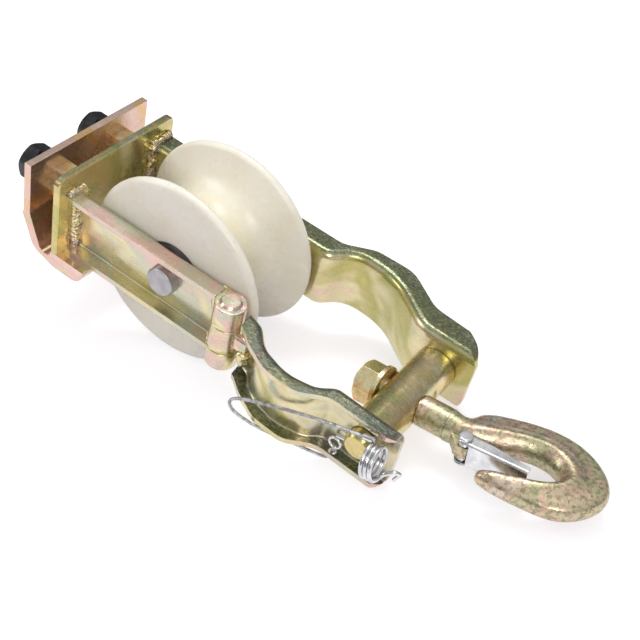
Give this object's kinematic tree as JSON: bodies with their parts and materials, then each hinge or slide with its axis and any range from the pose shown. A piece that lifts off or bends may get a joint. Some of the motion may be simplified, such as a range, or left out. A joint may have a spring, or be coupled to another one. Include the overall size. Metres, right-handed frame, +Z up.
{
  "type": "stringing block",
  "caption": "Single-sheave stringing block with a crossarm screw clamp, a hinged cable gate with lock clip, and a swivelling snap hook on a trunnion bar.",
  "frame": {"origin": "centre of the sheave, where its axle's axis crosses the middle of its groove", "axes": "+X along the block from the crossarm clamp to the hook, +Y along the axle away from the gate, +Z up through the open top of the clamp"},
  "size_m": [0.3925, 0.1334, 0.12],
  "materials": {
    "yellow_zinc_steel": "iridescent yellow zinc plate over steel",
    "forged_zinc": "yellow zinc plate over a rough forging",
    "nylon": "translucent cast nylon, satin turned",
    "black_oxide": "black oxide",
    "bare_steel": "bare turned steel",
    "bright_steel": "bright zinc plate",
    "galvanized_rope": "galvanized wire rope"
  },
  "bodies": {
    "frame": {"head_plate": "yellow_zinc_steel", "clamp_jaw": "yellow_zinc_steel", "jaw_weld_nuts": "yellow_zinc_steel", "near_channel": "yellow_zinc_steel", "far_strap": "yellow_zinc_steel", "head_welds": "yellow_zinc_steel", "hinge_welds": "yellow_zinc_steel", "hinge_knuckle_upper": "yellow_zinc_steel", "hinge_knuckle_lower": "yellow_zinc_steel", "hinge_pin": "yellow_zinc_steel", "axle": "bare_steel", "axle_washer": "yellow_zinc_steel", "axle_cotter": "bright_steel", "bearing_inner_races": "bare_steel", "centre_spacer": "bare_steel", "side_spacers": "bare_steel"},
    "sheave": {"sheave": "nylon", "bearing_outer_races": "bare_steel", "bearing_balls": "bare_steel", "bearing_shields": "bare_steel"},
    "gate": {"gate_strap": "yellow_zinc_steel", "gate_knuckle": "yellow_zinc_steel", "gate_lug_weld": "yellow_zinc_steel", "lanyard_rope": "galvanized_rope", "lanyard_ferrule": "bright_steel", "lanyard_stop_ring": "bright_steel"},
    "lock_clip": {"lock_clip": "bright_steel"},
    "trunnion": {"trunnion_bar": "yellow_zinc_steel", "trunnion_washer": "yellow_zinc_steel"},
    "hook": {"hook": "forged_zinc", "shank_washer": "yellow_zinc_steel", "shank_nut": "yellow_zinc_steel", "latch_rivet": "bright_steel", "latch_spring": "bright_steel"},
    "latch": {"latch": "bright_steel"},
    "clamp_bolt_near": {"clamp_bolt_near": "black_oxide"},
    "clamp_bolt_far": {"clamp_bolt_far": "black_oxide"}
  },
  "joints": [
    {"name": "sheave_spin", "type": "hinge", "parent": "frame", "child": "sheave", "pos_m": [0, 0, 0], "axis": [0, 1, 0], "continuous": true},
    {"name": "gate_swing", "type": "hinge", "parent": "frame", "child": "gate", "pos_m": [0.0513, -0.0425, 0], "axis": [0, 0, -1], "range_deg": [0, 120], "deforming": ["lock_clip"]},
    {"name": "clip_pull", "type": "slide", "parent": "gate", "child": "lock_clip", "axis": [0.9781, 0, 0.2079], "range_m": [0, 0.024]},
    {"name": "trunnion_pitch", "type": "hinge", "parent": "frame", "child": "trunnion", "pos_m": [0.153, -0.0115, 0], "axis": [0, -1, 0], "range_deg": [-98, 82], "deforming": ["lock_clip"]},
    {"name": "hook_swivel", "type": "hinge", "parent": "trunnion", "child": "hook", "pos_m": [0.153, -0.0115, 0], "axis": [0.9903, 0, 0.1392], "continuous": true},
    {"name": "latch_swing", "type": "hinge", "parent": "hook", "child": "latch", "pos_m": [0.19756, -0.022, 0.00626], "axis": [-0.1392, 0, 0.9903], "range_deg": [0, 20]},
    {"name": "clamp_screw_near", "type": "slide", "parent": "frame", "child": "clamp_bolt_near", "axis": [1, 0, 0], "range_m": [-0.0075, 0.0094]},
    {"name": "clamp_screw_far", "type": "slide", "parent": "frame", "child": "clamp_bolt_far", "axis": [1, 0, 0], "range_m": [-0.0075, 0.0094]}
  ]
}
